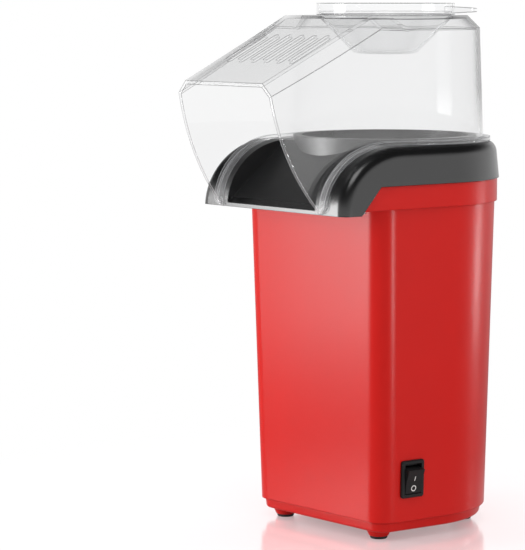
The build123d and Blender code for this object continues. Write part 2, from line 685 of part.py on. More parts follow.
# Heater: shroud with a thermostat hole, fuse tabs and slots for the crossed boards
thermostat_angle = 150
fuse_angle = 120
fuse_z = (146.0, 158.0)
with BuildPart() as heater_shroud:
    with BuildSketch(AXIS.offset(DUCT_TOP_Z)):
        Circle(SHROUD_R + SHROUD_T)
    extrude(amount=SHROUD_TOP_Z - DUCT_TOP_Z)
    for z in fuse_z:
        with BuildSketch(AXIS.offset(z)):
            with PolarLocations(SHROUD_R + 3, 1, start_angle=fuse_angle):
                Rectangle(6, 6)
        extrude(amount=1)
    drill([(0, 0)], DUCT_TOP_Z, SHROUD_TOP_Z, SHROUD_R)
    fuse_spot = (53.8 * cos(radians(fuse_angle)), 53.8 * sin(radians(fuse_angle)))
    drill([fuse_spot], fuse_z[0], fuse_z[1] + 1, 0.7)
    with BuildSketch(AXIS.offset(MICA_Z)):
        with PolarLocations(SHROUD_R, 4):
            Rectangle(4, MICA_T + 0.2)
    extrude(amount=MICA_H, mode=Mode.SUBTRACT)
    thermostat_dir = (cos(radians(thermostat_angle)), sin(radians(thermostat_angle)), 0)
    THERMOSTAT = Plane(
        origin=(48 * thermostat_dir[0], AXIS_Y + 48 * thermostat_dir[1], 150),
        x_dir=(0, 0, 1),
        z_dir=thermostat_dir,
    )
    with BuildSketch(THERMOSTAT):
        Circle(8.1)
    extrude(amount=6, mode=Mode.SUBTRACT)

heater_shroud.part.label = "heater_shroud"
export_step(heater_shroud.part, "parts/heater_shroud.step")

with BuildPart() as thermostat:
    with BuildSketch(THERMOSTAT.offset(1)):
        Circle(8.0)
    extrude(amount=6)
    with BuildSketch(THERMOSTAT.offset(7)):
        with Locations((0, 4), (0, -4)):
            Rectangle(5, 0.8)
    extrude(amount=2.6)

thermostat.part.label = "thermostat"
export_step(thermostat.part, "parts/thermostat.step")

with BuildPart() as thermal_fuse:
    with BuildSketch(AXIS.offset(fuse_z[0] + 1.5)):
        with Locations(fuse_spot):
            Circle(1.8)
    extrude(amount=fuse_z[1] - fuse_z[0] - 2)
    with BuildSketch(AXIS.offset(fuse_z[0] - 5)):
        with Locations(fuse_spot):
            Circle(0.6)
    extrude(amount=fuse_z[1] - fuse_z[0] + 11)

thermal_fuse.part.label = "thermal_fuse"
export_step(thermal_fuse.part, "parts/thermal_fuse.step")

# Crossed boards with a notch wherever the coil passes
coil_radii = [COIL_START + k * COIL_PITCH / 2 for k in range(COIL_HALF_TURNS)]
across = [sign * r for r in coil_radii[::2] for sign in (1, -1)]
along = list(coil_radii[::2]) + [-sqrt(r**2 - (COIL_PITCH / 2) ** 2) for r in coil_radii[1::2]]


def mica_board(turn, crossings, lap_z):
    """Return one heater board, turned about the axis, with coil notches and half a cross lap."""
    with BuildPart() as board:
        with BuildSketch(AXIS.offset(MICA_Z)):
            Rectangle(2 * SHROUD_R + 1, MICA_T, rotation=turn)
        extrude(amount=MICA_H)
        with BuildSketch(AXIS.offset(COIL_Z - COIL_R - 0.1)):
            for spot in crossings:
                with Locations((spot * cos(radians(turn)), spot * sin(radians(turn)))):
                    Rectangle(2 * COIL_R + 0.4, 3, rotation=turn)
        extrude(amount=5, mode=Mode.SUBTRACT)
        with BuildSketch(AXIS.offset(lap_z)):
            Rectangle(MICA_T + 0.1, 3, rotation=turn)
        extrude(amount=MICA_H / 2, mode=Mode.SUBTRACT)
    return board.part


mica_board_x = mica_board(0, across, MICA_Z + MICA_H / 2)
mica_board_x.label = "mica_board_x"
export_step(mica_board_x, "parts/mica_board_x.step")

mica_board_y = mica_board(90, along, MICA_Z)
mica_board_y.label = "mica_board_y"
export_step(mica_board_y, "parts/mica_board_y.step")

# Spiral coil of half turns whose centres alternate, so that it stays smooth
with BuildPart() as heating_coil:
    with BuildLine(AXIS.offset(COIL_Z)) as spiral:
        for k, r in enumerate(coil_radii):
            centre = (k % 2) * COIL_PITCH / 2
            CenterArc((centre, 0), r, 180 * (k % 2), 180)
    with BuildSketch(Plane(origin=spiral.line @ 0, z_dir=spiral.line % 0)):
        Circle(COIL_R)
    sweep(path=spiral.line)

heating_coil.part.label = "heating_coil"
export_step(heating_coil.part, "parts/heating_coil.step")

# Popping chamber
with BuildPart() as popping_chamber:
    outer_r = CHAMBER_R + CHAMBER_T
    low = CHAMBER_FOOT_Z
    top = SHROUD_TOP_Z
    with BuildSketch(SIDE):
        with BuildLine():
            Polyline((0, low + 5), (40, low), (outer_r, low + 5), (outer_r, top), (CHAMBER_FLANGE_R, top),
                     (CHAMBER_FLANGE_R, top + 1), (CHAMBER_R, top + 1), (CHAMBER_R, low + 5.5),
                     (39.6, low + 1.2), (0, low + 6.2), close=True)
        make_face()
    revolve(axis=Axis((0, AXIS_Y, 0), (0, 0, 1)))
    with Locations(AXIS.offset(CHAMBER_FOOT_Z + 17)):
        with PolarLocations(CHAMBER_R, SLOTS):
            Box(6, 1.8, 15, rotation=(25, 0, 0), mode=Mode.SUBTRACT)

popping_chamber.part.label = "popping_chamber"
export_step(popping_chamber.part, "parts/popping_chamber.step")

with BuildPart() as chamber_gasket:
    with BuildSketch(AXIS.offset(SHROUD_TOP_Z + 1)):
        Circle(CHAMBER_FLANGE_R)
        Circle(BORE_R, mode=Mode.SUBTRACT)
    extrude(amount=RING_FOOT_Z - SHROUD_TOP_Z - 1)

chamber_gasket.part.label = "chamber_gasket"
export_step(chamber_gasket.part, "parts/chamber_gasket.step")

# Rocker switch
with BuildPart() as switch_housing:
    with BuildSketch(SWITCH.offset(0.1)):
        RectangleRounded(BEZEL[0], BEZEL[1], 1.6)
    extrude(amount=BEZEL[2] - 0.1)
    chamfer(switch_housing.faces().sort_by(Axis(SWITCH.origin, SWITCH.z_dir))[-1].edges(), 0.5)
    with BuildSketch(SWITCH.offset(0.1)):
        Rectangle(SWITCH_BODY[0], SWITCH_BODY[1])
    extrude(amount=-SWITCH_BODY[2] - 0.1)
    with BuildSketch(SWITCH.offset(KEY_PIVOT)):
        Rectangle(*KEY_OPENING)
    extrude(amount=10, mode=Mode.SUBTRACT)
    with BuildSketch(KEY.offset(-KEY_OPENING[0] / 2)):
        Circle(KEY_SWEEP_R)
    extrude(amount=KEY_OPENING[0], mode=Mode.SUBTRACT)
    with BuildSketch(KEY.offset(-6.3)):
        Circle(KEY_PIN_R + KEY_FIT)
    extrude(amount=12.6, mode=Mode.SUBTRACT)

switch_housing.part.label = "switch_housing"
export_step(switch_housing.part, "parts/switch_housing.step")

with BuildPart() as rocker:
    with BuildSketch(KEY.offset(-KEY_W / 2)):
        with BuildLine():
            ThreePointArc((-KEY_R, 0), (0, -KEY_R), (KEY_R, 0))
            Polyline((KEY_R, 0), KEY_CORNER, (0, KEY_DIP), (-KEY_CORNER[0], KEY_CORNER[1]), (-KEY_R, 0))
        make_face()
    extrude(amount=KEY_W)
    with BuildSketch(KEY.offset(-6.1)):
        Circle(KEY_PIN_R)
    extrude(amount=12.2)

rocker.part.label = "rocker"
export_step(rocker.part, "parts/rocker.step")

with BuildPart() as switch_terminals:
    with BuildSketch(SWITCH.offset(-SWITCH_BODY[2])):
        with Locations((0, 5), (0, -5)):
            Rectangle(4.8, 0.8)
    extrude(amount=-7)

switch_terminals.part.label = "switch_terminals"
export_step(switch_terminals.part, "parts/switch_terminals.step")

# Bush for the supply lead in the rear wall
gland_wall = tower_plan(GLAND_Z)[0]
with BuildPart() as cord_gland:
    with BuildSketch(Plane(origin=(0, AXIS_Y + gland_wall, GLAND_Z), x_dir=(0, 1, 0), z_dir=(1, 0, 0))):
        with BuildLine():
            Polyline((-6.0, 3.2), (-6.0, 6.4), (-3.3, 6.4), (-3.3, 4.9), (0.3, 4.9), (0.3, 7.0),
                     (2.2, 6.2), (4.0, 4.6), (4.0, 3.2), close=True)
        make_face()
    revolve(axis=Axis((0, AXIS_Y, GLAND_Z), (0, 1, 0)))

cord_gland.part.label = "cord_gland"
export_step(cord_gland.part, "parts/cord_gland.step")

# Rectifier for the motor
with BuildPart() as rectifier_board:
    with BuildSketch(AXIS.offset(12)):
        with Locations((-35, 0)):
            Rectangle(20, 32)
        with Locations(*board_posts):
            Circle(1.3, mode=Mode.SUBTRACT)
    extrude(amount=1.6)

rectifier_board.part.label = "rectifier_board"
export_step(rectifier_board.part, "parts/rectifier_board.step")

with BuildPart() as rectifier_parts:
    with BuildSketch(AXIS.offset(13.6)):
        with Locations((-38, 0)):
            Rectangle(8, 9)
    extrude(amount=4)
    with BuildSketch(AXIS.offset(13.6)):
        with Locations((-30, 0)):
            Circle(3.5)
    extrude(amount=9)

rectifier_parts.part.label = "rectifier_parts"
export_step(rectifier_parts.part, "parts/rectifier_parts.step")
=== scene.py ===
"""Looks of a small hot-air popping machine.

A red moulded housing carries a dark collar with a chute, a clear hood and a clear measuring cup.
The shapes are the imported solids. This file gives them their finishes, adds the printed marks of
the rocker, and sets up the studio and the camera.
"""

import json
import logging
import math
from abc import ABC, abstractmethod
from dataclasses import dataclass
from enum import Enum
from typing import Optional, Union

import bmesh
import bpy
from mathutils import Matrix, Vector

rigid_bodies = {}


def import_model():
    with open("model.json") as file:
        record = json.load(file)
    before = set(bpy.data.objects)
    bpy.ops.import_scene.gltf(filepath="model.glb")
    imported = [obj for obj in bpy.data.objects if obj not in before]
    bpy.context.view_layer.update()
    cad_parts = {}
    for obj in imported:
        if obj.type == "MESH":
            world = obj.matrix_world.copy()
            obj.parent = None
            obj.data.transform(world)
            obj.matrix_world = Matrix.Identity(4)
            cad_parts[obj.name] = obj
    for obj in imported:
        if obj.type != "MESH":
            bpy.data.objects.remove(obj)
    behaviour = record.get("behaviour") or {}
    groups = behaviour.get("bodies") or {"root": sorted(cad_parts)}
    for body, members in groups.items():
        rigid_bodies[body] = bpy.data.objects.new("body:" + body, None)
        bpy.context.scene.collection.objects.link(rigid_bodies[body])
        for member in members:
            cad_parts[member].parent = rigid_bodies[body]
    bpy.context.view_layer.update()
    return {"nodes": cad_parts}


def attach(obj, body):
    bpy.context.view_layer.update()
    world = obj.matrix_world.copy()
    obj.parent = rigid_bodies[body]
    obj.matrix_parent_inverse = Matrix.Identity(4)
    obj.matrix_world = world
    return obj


for leftover in list(bpy.data.objects):
    bpy.data.objects.remove(leftover)

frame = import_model()

LOG = logging.getLogger("popping_machine")
MM = 0.001
MM_PER_M = 1000.0
# The machine's upright axis, which lies behind the middle of its box.
AXIS_Y = 27.35 * MM

Colour = tuple[float, float, float]
Pair = tuple[float, float]
Point = tuple[float, float, float]
Socket = bpy.types.NodeSocket
SocketValue = Union[float, tuple[float, ...], Socket]
Sockets = dict[Union[str, int], SocketValue]

UNIT: Pair = (0.0, 1.0)
# Nearly all noise lies between these values, so they are its dark and its light end.
NOISE_ENDS: Pair = (0.3, 0.7)
# Multiplied with a vector, this drops its upright part.
LEVEL: Point = (1.0, 1.0, 0.0)


@dataclass(frozen=True)
class Pattern:
    """A noise pattern: the size of its cells, the number of its finer layers and their share."""

    cell_mm: float
    detail: float = 2.0
    rough: float = 0.5


class MouldSurface(Enum):
    """Textures that a mould leaves, each as its grain and the grain's depth in millimetres."""

    POLISHED = (Pattern(1.6, 3.0, 0.6), 0.0012)
    SATIN = (Pattern(0.3, 3.0, 0.6), 0.0003)
    SPARKED = (Pattern(0.28, 3.0, 0.6), 0.009)


class MetalSurface(Enum):
    """Marks that a metal piece keeps from the way it was made."""

    SPUN = "spun"
    ROLLED = "rolled"
    PLATED = "plated"
    DRAWN = "drawn"


class NodeSheet:
    """A tree of shader nodes, with short calls to add and wire them."""

    def __init__(self, tree: bpy.types.NodeTree, output: str, coordinate: str) -> None:
        """Clears a tree and gives it an output and a coordinate.

        Args:
            tree: The tree of a material or a world.
            output: The type of its output node.
            coordinate: The name of the coordinate that its patterns follow.
        """
        self.tree = tree
        self.tree.nodes.clear()
        self.output = self.add(output)
        self.place = self.add("ShaderNodeTexCoord").outputs[coordinate]

    def add(
        self, kind: str, sockets: Optional[Sockets] = None, **settings: object
    ) -> bpy.types.Node:
        """Adds a node.

        Args:
            kind: The node's type.
            sockets: Values, or sockets to wire from, by input name or number.
            **settings: The node's own properties.

        Returns:
            The new node.
        """
        node = self.tree.nodes.new(kind)
        for key, value in settings.items():
            setattr(node, key, value)
        for key, value in (sockets or {}).items():
            if isinstance(value, Socket):
                self.tree.links.new(value, node.inputs[key])
            else:
                node.inputs[key].default_value = value
        return node

    def calc(self, operation: str, *values: SocketValue, clamp: bool = False) -> Socket:
        """Works out a number.

        Args:
            operation: The operation, as Blender names it.
            *values: The numbers that it takes.
            clamp: Whether the result is kept between 0 and 1.

        Returns:
            The result.
        """
        sockets = dict(enumerate(values))
        node = self.add("ShaderNodeMath", sockets, operation=operation, use_clamp=clamp)
        return node.outputs["Value"]

    def vector(self, operation: str, *values: SocketValue, output: str = "Vector") -> Socket:
        """Works out a vector, or a number from vectors.

        Args:
            operation: The operation, as Blender names it.
            *values: The vectors that it takes.
            output: The name of the result.

        Returns:
            The result.
        """
        node = self.add("ShaderNodeVectorMath", dict(enumerate(values)), operation=operation)
        return node.outputs[output]

    def part(self, vector: Socket, axis: str) -> Socket:
        """Takes one coordinate out of a vector."""
        return self.add("ShaderNodeSeparateXYZ", {0: vector}).outputs[axis]

    def remap(
        self, value: Socket, ends: Pair, low: SocketValue, high: SocketValue, smooth: bool = False
    ) -> Socket:
        """Maps a number to a range, and not past its ends.

        Args:
            value: The number.
            ends: The numbers at which the result is low and high.
            low: The low result.
            high: The high result.
            smooth: Whether the result eases in and out.

        Returns:
            The mapped number.
        """
        sockets: Sockets = {"Value": value, "From Min": ends[0], "From Max": ends[1]}
        sockets.update({"To Min": low, "To Max": high})
        ease = "SMOOTHSTEP" if smooth else "LINEAR"
        return self.add("ShaderNodeMapRange", sockets, interpolation_type=ease).outputs["Result"]

    def noise(self, pattern: Pattern) -> Socket:
        """Gives noise of a pattern.

        Args:
            pattern: The pattern.

        Returns:
            The noise value, around 0.5.
        """
        sockets: Sockets = {"Vector": self.place, "Scale": MM_PER_M / pattern.cell_mm}
        sockets.update({"Detail": pattern.detail, "Roughness": pattern.rough})
        return self.add("ShaderNodeTexNoise", sockets).outputs["Fac"]

    def spread(self, value: Socket, low: float, high: float) -> Socket:
        """Maps a noise value to a range."""
        return self.remap(value, NOISE_ENDS, low, high)

    def tones(self, value: Socket, dark: Colour, light: Colour) -> Socket:
        """Maps a noise value to a colour between two tones.

        Args:
            value: The noise value.
            dark: The colour at its low end.
            light: The colour at its high end.

        Returns:
            The colour.
        """
        ramp = self.add("ShaderNodeValToRGB", {"Fac": value})
        for stop, end, colour in zip(ramp.color_ramp.elements, NOISE_ENDS, (dark, light)):
            stop.position = end
            stop.color = (*colour, 1.0)
        return ramp.outputs["Color"]

    def blend(self, share: Socket, base: Colour, other: Socket) -> Socket:
        """Mixes a plain colour with another one.

        Args:
            share: The share of the other colour.
            base: The plain colour.
            other: The other colour.

        Returns:
            The mixed colour.
        """
        sockets: Sockets = {0: share, 6: (*base, 1.0), 7: other}
        return self.add("ShaderNodeMix", sockets, data_type="RGBA").outputs[2]

    def relief(self, height: Socket, depth_mm: float, edge_mm: float) -> Socket:
        """Gives a normal with a fine relief and, on request, softened edges.

        Args:
            height: The relief's height, from 0 to 1.
            depth_mm: Its depth in millimetres.
            edge_mm: The radius that sharp edges seem to have, or 0 for sharp ones.

        Returns:
            The normal.
        """
        sockets: Sockets = {"Height": height, "Distance": depth_mm * MM}
        if edge_mm:
            soft = self.add("ShaderNodeBevel", {"Radius": edge_mm * MM}, samples=6)
            sockets["Normal"] = soft.outputs["Normal"]
        return self.add("ShaderNodeBump", sockets).outputs["Normal"]

    def facing(self) -> Socket:
        """Gives the direction that the surface faces."""
        return self.add("ShaderNodeNewGeometry").outputs["Normal"]

    def rays(self) -> bpy.types.NodeOutputs:
        """Gives the kinds of ray that may arrive, by name."""
        return self.add("ShaderNodeLightPath").outputs

    def principled(self, sockets: Sockets) -> Socket:
        """Adds the main shader with the given inputs."""
        return self.add("ShaderNodeBsdfPrincipled", sockets).outputs["BSDF"]

    def mix(self, share: Socket, first: Socket, second: Socket) -> Socket:
        """Mixes two shaders by the share of the second."""
        return self.add("ShaderNodeMixShader", {0: share, 1: first, 2: second}).outputs["Shader"]

    def wire(self, shader: Socket, target: str = "Surface") -> None:
        """Wires a shader to the output."""
        self.tree.links.new(shader, self.output.inputs[target])


class MaterialSheet(NodeSheet):
    """The nodes of one material."""

    def __init__(self, name: str) -> None:
        """Makes an empty material.

        Args:
            name: The material's name.
        """
        self.material = bpy.data.materials.new(name)
        self.material.use_nodes = True
        super().__init__(self.material.node_tree, "ShaderNodeOutputMaterial", "Object")

    def show(self, shader: Socket) -> bpy.types.Material:
        """Wires a shader to the output and gives the finished material."""
        self.wire(shader)
        return self.material


def tone(colour: Colour, factor: float) -> Colour:
    """Scales a linear colour by a factor."""
    return (colour[0] * factor, colour[1] * factor, colour[2] * factor)


@dataclass(frozen=True)
class Finish(ABC):
    """A finish that several pieces may share."""

    name: str

    @abstractmethod
    def draw(self) -> bpy.types.Material:
        """Builds the finish's material."""

    def material(self) -> bpy.types.Material:
        """Gives the finish's material, made once."""
        return bpy.data.materials.get(self.name) or self.draw()


@dataclass(frozen=True)
class MouldedPlastic(Finish):
    """Opaque moulded plastic with its mould's grain, slight flow mottling and soft edges."""

    colour: Colour
    rough: Pair
    gloss: float
    surface: MouldSurface
    mottle: float
    edge_mm: float
    cloud: Pattern = Pattern(38.0, 4.0, 0.6)
    smear: Pattern = Pattern(12.0)

    def roughness(self, sheet: MaterialSheet) -> Socket:
        """Gives a roughness that varies slightly over the surface."""
        return sheet.spread(sheet.noise(self.smear), *self.rough)

    def draw(self) -> bpy.types.Material:
        """Builds the material.

        Returns:
            The material.
        """
        sheet = MaterialSheet(self.name)
        grain, depth_mm = self.surface.value
        cloud = sheet.noise(self.cloud)
        dark, light = tone(self.colour, 1 - self.mottle), tone(self.colour, 1 + self.mottle)
        return sheet.show(
            sheet.principled(
                {
                    "Base Color": sheet.tones(cloud, dark, light),
                    "Roughness": self.roughness(sheet),
                    "Specular IOR Level": self.gloss,
                    "Normal": sheet.relief(sheet.noise(grain), depth_mm, self.edge_mm),
                }
            )
        )


@dataclass(frozen=True)
class ChutePlastic(MouldedPlastic):
    """Moulded plastic with a duller face in the chute than on the lip and the outside.

    The chute is what lies between its walls, whose half distances are given, and above the lip.
    """

    dull: float = 0.15
    halves: Pair = (0.041, 0.049)
    lip_top: float = 0.1875

    def roughness(self, sheet: MaterialSheet) -> Socket:
        """Adds to the roughness in the chute.

        Args:
            sheet: The material's nodes.

        Returns:
            The roughness.
        """
        half = sheet.calc("ABSOLUTE", sheet.part(sheet.place, "X"))
        inner = sheet.remap(half, self.halves, self.dull, 0.0)
        above = sheet.calc("GREATER_THAN", sheet.part(sheet.place, "Z"), self.lip_top)
        return sheet.calc("MULTIPLY_ADD", inner, above, super().roughness(sheet))


@dataclass(frozen=True)
class ClearPlastic(Finish):
    """Clear moulded plastic that lets lamps through, with wavy walls and painted lines along its
    edges.

    The pairs gloss and edge_mm, and the two tones of the painted edge lines, are for low down,
    where the collar lies behind, and for higher up, where the light does: the edges are painted
    light grey low down and painted dark higher up. Walls that are seen edge-on get a painted dark
    outline higher up, the side that faces the hollow may be duller, and the flange gets a painted
    grey sheen.
    """

    colour: Colour
    rough: Pair
    wave_mm: float
    gloss: Pair
    edge_mm: Pair
    edge_share: float
    haze: float = 18.0
    inner_gloss: float = 1.0
    # The share of a painted dark outline where walls are seen edge-on, higher up.
    rim_share: float = 0.0
    flange_share: float = 0.0
    flange_gloss: float = 0.2
    flange_top: float = 0.2208
    heights: Pair = (0.223, 0.248)
    # Painted light and shade along the edges: a light grey tone low down and a dark one higher up.
    edge_painted_light_low: Colour = (0.50, 0.505, 0.515)
    edge_painted_shade_high: Colour = (0.04, 0.04, 0.043)
    # The flange's painted grey sheen, standing in for the light that its faces reflect.
    flange_painted_sheen_tone: Colour = (0.40, 0.40, 0.405)
    shade: Colour = (0.93, 0.935, 0.94)
    edge_bend: Pair = (0.9993, 0.98)
    rim_turn: Pair = (0.66, 0.86)
    flange_turn: Pair = (0.75, 0.45)
    side_blend: Pair = (-0.004, 0.004)
    coat_edge_mm: float = 0.9
    wave: Pattern = Pattern(21.0, 1.0, 0.4)
    smear: Pattern = Pattern(6.0, 5.0, 0.65)
    smear_tone: float = 0.992

    def rise(self, sheet: MaterialSheet, low: float, high: float) -> SocketValue:
        """Gives a value that changes with the height, or a plain number where it doesn't.

        Args:
            sheet: The material's nodes.
            low: The value low down.
            high: The value higher up.

        Returns:
            The value.
        """
        if low == high:
            return low
        return sheet.remap(sheet.part(sheet.place, "Z"), self.heights, low, high)

    def edges(self, sheet: MaterialSheet) -> Socket:
        """Finds how near a point lies to a sharp edge.

        Args:
            sheet: The material's nodes.

        Returns:
            The share of the painted edge line at that point.
        """
        radius = self.rise(sheet, self.edge_mm[0] * MM, self.edge_mm[1] * MM)
        soft = sheet.add("ShaderNodeBevel", {"Radius": radius}, samples=8).outputs["Normal"]
        bend = sheet.vector("DOT_PRODUCT", soft, sheet.facing(), output="Value")
        return sheet.remap(sheet.calc("ABSOLUTE", bend), self.edge_bend, 0.0, self.edge_share)

    def rim(self, sheet: MaterialSheet) -> Socket:
        """Finds where a wall is seen edge-on, and so through much of the plastic, for a painted
        dark outline there.

        Args:
            sheet: The material's nodes.

        Returns:
            The share of the painted dark outline at that point.
        """
        turn = sheet.add("ShaderNodeLayerWeight", {"Blend": 0.5}).outputs["Facing"]
        return sheet.remap(turn, self.rim_turn, 0.0, self.rise(sheet, 0.0, self.rim_share))

    def wall_gloss(self, sheet: MaterialSheet) -> SocketValue:
        """Gives the walls' gloss, which may be less on the side that faces the hollow.

        Args:
            sheet: The material's nodes.

        Returns:
            The gloss.
        """
        gloss = self.rise(sheet, *self.gloss)
        if self.inner_gloss == 1.0:
            return gloss
        offset = sheet.vector("SUBTRACT", sheet.place, (0.0, AXIS_Y, 0.0))
        level = sheet.vector("MULTIPLY", offset, LEVEL)
        outward = sheet.vector("DOT_PRODUCT", sheet.facing(), level, output="Value")
        side = sheet.remap(outward, self.side_blend, self.inner_gloss, 1.0)
        return sheet.calc("MULTIPLY", gloss, side)

    def flange(self, sheet: MaterialSheet) -> Socket:
        """Finds the flange: what lies low and doesn't face sideways.

        Args:
            sheet: The material's nodes.

        Returns:
            1 on the flange and 0 elsewhere.
        """
        sideways = sheet.calc("ABSOLUTE", sheet.part(sheet.facing(), "X"))
        lying = sheet.remap(sideways, self.flange_turn, *UNIT)
        low = sheet.calc("LESS_THAN", sheet.part(sheet.place, "Z"), self.flange_top)
        return sheet.calc("MULTIPLY", lying, low)

    def walls(self, sheet: MaterialSheet, gloss: SocketValue) -> Socket:
        """Builds the clear walls.

        Args:
            sheet: The material's nodes.
            gloss: The walls' gloss.

        Returns:
            The shader.
        """
        wave, smear = sheet.noise(self.wave), sheet.noise(self.smear)
        return sheet.principled(
            {
                "Base Color": sheet.tones(smear, tone(self.colour, self.smear_tone), self.colour),
                "Roughness": sheet.spread(smear, *self.rough),
                "IOR": 1.01,
                "Transmission Weight": 1.0,
                "Coat Weight": gloss,
                "Coat IOR": 1.75,
                "Coat Roughness": 0.02,
                "Coat Normal": sheet.relief(wave, self.wave_mm, self.coat_edge_mm),
                "Normal": sheet.relief(wave, self.wave_mm, 0.0),
            }
        )

    def draw(self) -> bpy.types.Material:
        """Builds the material.

        Returns:
            The material.
        """
        sheet = MaterialSheet(self.name)
        edge = share = self.edges(sheet)
        gloss = self.wall_gloss(sheet)
        # Painted light and shade: the edge lines are light grey low down, where the dark collar
        # lies behind, and dark higher up, where the light lies behind.
        painted_edge_tone = sheet.tones(self.rise(sheet, *NOISE_ENDS), self.edge_painted_light_low, self.edge_painted_shade_high)
        # Painted shade: a dark outline where the walls are seen edge-on, higher up.
        if self.rim_share:
            share = sheet.calc("MAXIMUM", share, self.rim(sheet))
        # Painted reflection: the flange's faces that don't face sideways get a grey sheen and less
        # gloss.
        if self.flange_share:
            flange = self.flange(sheet)
            flange_painted_sheen = sheet.remap(flange, UNIT, 0.0, self.flange_share)
            share = sheet.calc("MAXIMUM", share, flange_painted_sheen)
            gloss = sheet.calc("MULTIPLY", gloss, sheet.remap(flange, UNIT, 1.0, self.flange_gloss))
            painted_edge_tone = sheet.blend(edge, self.flange_painted_sheen_tone, painted_edge_tone)
        # The painted edge lines, and the flange's painted grey sheen, drawn as a dull grey shader.
        painted_edges_and_sheen = sheet.add("ShaderNodeBsdfDiffuse", {"Color": painted_edge_tone}).outputs["BSDF"]
        edged = sheet.mix(share, self.walls(sheet, gloss), painted_edges_and_sheen)
        shade = sheet.add("ShaderNodeBsdfTransparent", {"Color": (*self.shade, 1.0)})
        absorbed: Sockets = {"Color": (0.0, 0.0, 0.0, 1.0), "Density": self.haze}
        sheet.wire(sheet.add("ShaderNodeVolumeAbsorption", absorbed).outputs["Volume"], "Volume")
        return sheet.show(sheet.mix(sheet.rays()["Is Shadow Ray"], edged, shade.outputs["BSDF"]))


@dataclass(frozen=True)
class WorkedMetal(Finish):
    """Bare metal with the marks of its making."""

    colour: Colour
    rough: Pair
    surface: MetalSurface
    edge_mm: float = 0.2
    mark_mm: float = 0.004
    ring_scale: float = 420.0
    band_scale: float = 600.0
    plating: Pattern = Pattern(0.5, 4.0, 0.7)
    smear: Pattern = Pattern(11.0)
    smear_tone: float = 0.95

    def marks(self, sheet: MaterialSheet) -> Socket:
        """Gives the height of the marks.

        Args:
            sheet: The material's nodes.

        Returns:
            The height, from 0 to 1.
        """
        if self.surface is MetalSurface.PLATED:
            return sheet.noise(self.plating)
        lines: Sockets = {"Distortion": 1.5, "Detail": 3.0, "Detail Scale": 1.5}
        if self.surface is MetalSurface.SPUN:
            centred = {"Vector": sheet.place, "Location": (0.0, -AXIS_Y, 0.0)}
            turned = sheet.add("ShaderNodeMapping", centred).outputs["Vector"]
            lines.update({"Vector": turned, "Scale": self.ring_scale})
            shape = {"wave_type": "RINGS", "rings_direction": "SPHERICAL"}
        else:
            lines.update({"Vector": sheet.place, "Scale": self.band_scale})
            shape = {"bands_direction": "Z" if self.surface is MetalSurface.ROLLED else "X"}
        return sheet.add("ShaderNodeTexWave", lines, **shape).outputs["Fac"]

    def draw(self) -> bpy.types.Material:
        """Builds the material.

        Returns:
            The material.
        """
        sheet = MaterialSheet(self.name)
        smear = sheet.noise(self.smear)
        dark = tone(self.colour, self.smear_tone)
        return sheet.show(
            sheet.principled(
                {
                    "Base Color": sheet.tones(smear, dark, self.colour),
                    "Roughness": sheet.spread(smear, *self.rough),
                    "Metallic": 1.0,
                    "Normal": sheet.relief(self.marks(sheet), self.mark_mm, self.edge_mm),
                }
            )
        )


@dataclass(frozen=True)
class SoftRubber(Finish):
    """Moulded rubber or silicone, dull, with a dusty bloom."""

    colour: Colour
    bloom: Colour
    rough: Pair = (0.62, 0.82)
    grain_mm: float = 0.02
    edge_mm: float = 0.3
    dust: Pattern = Pattern(3.5, 6.0, 0.7)
    grain: Pattern = Pattern(0.35, 3.0, 0.6)

    def draw(self) -> bpy.types.Material:
        """Builds the material.

        Returns:
            The material.
        """
        sheet = MaterialSheet(self.name)
        dust = sheet.noise(self.dust)
        return sheet.show(
            sheet.principled(
                {
                    "Base Color": sheet.tones(dust, self.colour, self.bloom),
                    "Roughness": sheet.spread(dust, *self.rough),
                    "Specular IOR Level": 0.35,
                    "Normal": sheet.relief(sheet.noise(self.grain), self.grain_mm, self.edge_mm),
                }
            )
        )


@dataclass(frozen=True)
class FlakedSheet(Finish):
    """Layered board, such as pressed mica or a circuit board, with flakes or fibres in it."""

    dark: Colour
    light: Colour
    flake_mm: float
    rough: Pair = (0.35, 0.6)
    relief_mm: float = 0.02

    def draw(self) -> bpy.types.Material:
        """Builds the material.

        Returns:
            The material.
        """
        sheet = MaterialSheet(self.name)
        cells: Sockets = {"Vector": sheet.place, "Scale": MM_PER_M / self.flake_mm}
        flake = sheet.add("ShaderNodeTexVoronoi", cells).outputs["Distance"]
        return sheet.show(
            sheet.principled(
                {
                    "Base Color": sheet.tones(flake, self.light, self.dark),
                    "Roughness": sheet.spread(flake, *self.rough),
                    "Normal": sheet.relief(flake, self.relief_mm, 0.0),
                }
            )
        )


